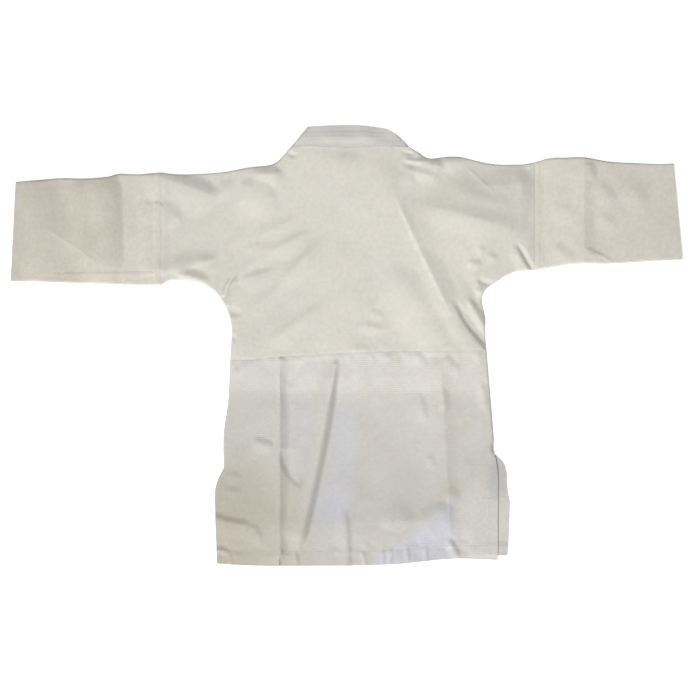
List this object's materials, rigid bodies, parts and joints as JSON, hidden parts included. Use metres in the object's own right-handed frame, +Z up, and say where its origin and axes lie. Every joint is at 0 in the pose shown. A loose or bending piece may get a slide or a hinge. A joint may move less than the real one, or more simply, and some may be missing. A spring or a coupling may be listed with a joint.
{
  "type": "judo jacket",
  "caption": "Child's judo jacket laid flat with its back up: woven body and skirt, wide open sleeves, thick stitched collar running into crossed lapels, side vents.",
  "frame": {"origin": "on the surface that the jacket lies on, under the middle of its outline", "axes": "+X from the wearer's left cuff to the right one, +Y from the hem to the collar, +Z up from the surface to the jacket's back"},
  "size_m": [0.9394, 0.6154, 0.016],
  "materials": {
    "body_cloth": "off-white rice-grain cotton",
    "skirt_cloth": "off-white diamond-weave cotton",
    "sleeve_cloth": "off-white rice-grain cotton",
    "collar_band": "off-white twill over several plies"
  },
  "bodies": {
    "root": {"back_body": "body_cloth", "back_skirt": "skirt_cloth", "collar": "collar_band", "front_left_body": "body_cloth", "front_left_skirt": "skirt_cloth", "front_right_body": "body_cloth", "front_right_skirt": "skirt_cloth", "lapel_left": "collar_band", "lapel_right": "collar_band", "sleeve_left": "sleeve_cloth", "sleeve_right": "sleeve_cloth"}
  },
  "joints": []
}
